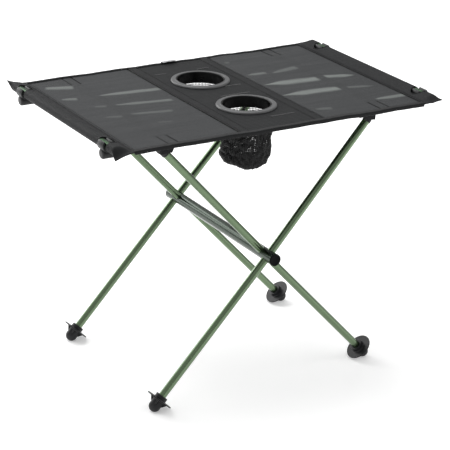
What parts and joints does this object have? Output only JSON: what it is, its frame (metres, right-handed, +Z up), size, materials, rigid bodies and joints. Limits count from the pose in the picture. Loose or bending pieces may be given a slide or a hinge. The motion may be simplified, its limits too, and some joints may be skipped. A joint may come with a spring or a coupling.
{
  "type": "camp kitchen table",
  "caption": "Low folding camp table: a tensioned fabric top with sunken mesh cup holders on green scissor legs that meet on a round crossbar.",
  "frame": {"origin": "on the ground, straight below the middle of the crossbar, which is the centre of the footprint", "axes": "+X along the length of the table to its right end, +Y across it to its rear long edge, +Z up"},
  "size_m": [0.6, 0.4, 0.4748],
  "materials": {
    "anodised_green": "green anodised, satin",
    "anodised_dark": "dark green anodised, satin",
    "black_nylon": "moulded nylon, fine texture",
    "cap_rubber": "matt",
    "plain_alloy": "mill finish",
    "steel": "ground",
    "panel_fabric": "coated ripstop weave",
    "centre_fabric": "coated weave",
    "sleeve_fabric": "coated weave, doubled",
    "webbing": "flat woven tape",
    "ring_grey": "moulded, satin",
    "mesh_black": "open mesh",
    "elastic": "braided elastic"
  },
  "bodies": {
    "outer_legs": {"end_hub_front": "anodised_dark", "end_cap_front": "cap_rubber", "pivot_pin_front": "steel", "hub_core_front": "black_nylon", "leg_left_front": "anodised_green", "foot_left_front": "black_nylon", "arm_right_front": "anodised_green", "arm_tip_right_front": "black_nylon", "end_hub_rear": "anodised_dark", "end_cap_rear": "cap_rubber", "pivot_pin_rear": "steel", "hub_core_rear": "black_nylon", "leg_left_rear": "anodised_green", "foot_left_rear": "black_nylon", "arm_right_rear": "anodised_green", "arm_tip_right_rear": "black_nylon"},
    "inner_legs": {"bar_core_front": "black_nylon", "leg_right_front": "anodised_green", "foot_right_front": "black_nylon", "arm_left_front": "anodised_green", "arm_tip_left_front": "black_nylon", "bar_core_rear": "black_nylon", "leg_right_rear": "anodised_green", "foot_right_rear": "black_nylon", "arm_left_rear": "anodised_green", "arm_tip_left_rear": "black_nylon", "crossbar_tube": "anodised_dark"},
    "table_top": {"left_panel": "panel_fabric", "left_sleeve": "sleeve_fabric", "side_rod_left": "anodised_green", "connector_left_front": "black_nylon", "tip_pocket_left_front": "webbing", "tension_pole_left_front": "anodised_green", "connector_left_rear": "black_nylon", "tip_pocket_left_rear": "webbing", "tension_pole_left_rear": "anodised_green", "right_panel": "panel_fabric", "right_sleeve": "sleeve_fabric", "side_rod_right": "anodised_green", "connector_right_front": "black_nylon", "tip_pocket_right_front": "webbing", "tension_pole_right_front": "anodised_green", "connector_right_rear": "black_nylon", "tip_pocket_right_rear": "webbing", "tension_pole_right_rear": "anodised_green", "centre_panel": "centre_fabric", "hem_front": "webbing", "ferrule_front": "plain_alloy", "shock_cord_front": "elastic", "cup_ring_front": "ring_grey", "cup_collar_front": "black_nylon", "cup_clamp_front": "black_nylon", "mesh_bag_front": "mesh_black", "hem_rear": "webbing", "ferrule_rear": "plain_alloy", "shock_cord_rear": "elastic", "cup_ring_rear": "ring_grey", "cup_collar_rear": "black_nylon", "cup_clamp_rear": "black_nylon", "mesh_bag_rear": "mesh_black"}
  },
  "joints": [
    {"name": "leg_fold", "type": "hinge", "parent": "outer_legs", "child": "inner_legs", "pos_m": [0, 0, 0.233], "axis": [0, 1, 0], "range_deg": [0, 76]},
    {"name": "top_lift", "type": "slide", "parent": "outer_legs", "child": "table_top", "axis": [0, 0, 1], "range_m": [0, 0.3]}
  ],
  "couplings": [
    {"joint": "top_lift", "follows": "leg_fold", "m_per_rad": 0.226}
  ]
}
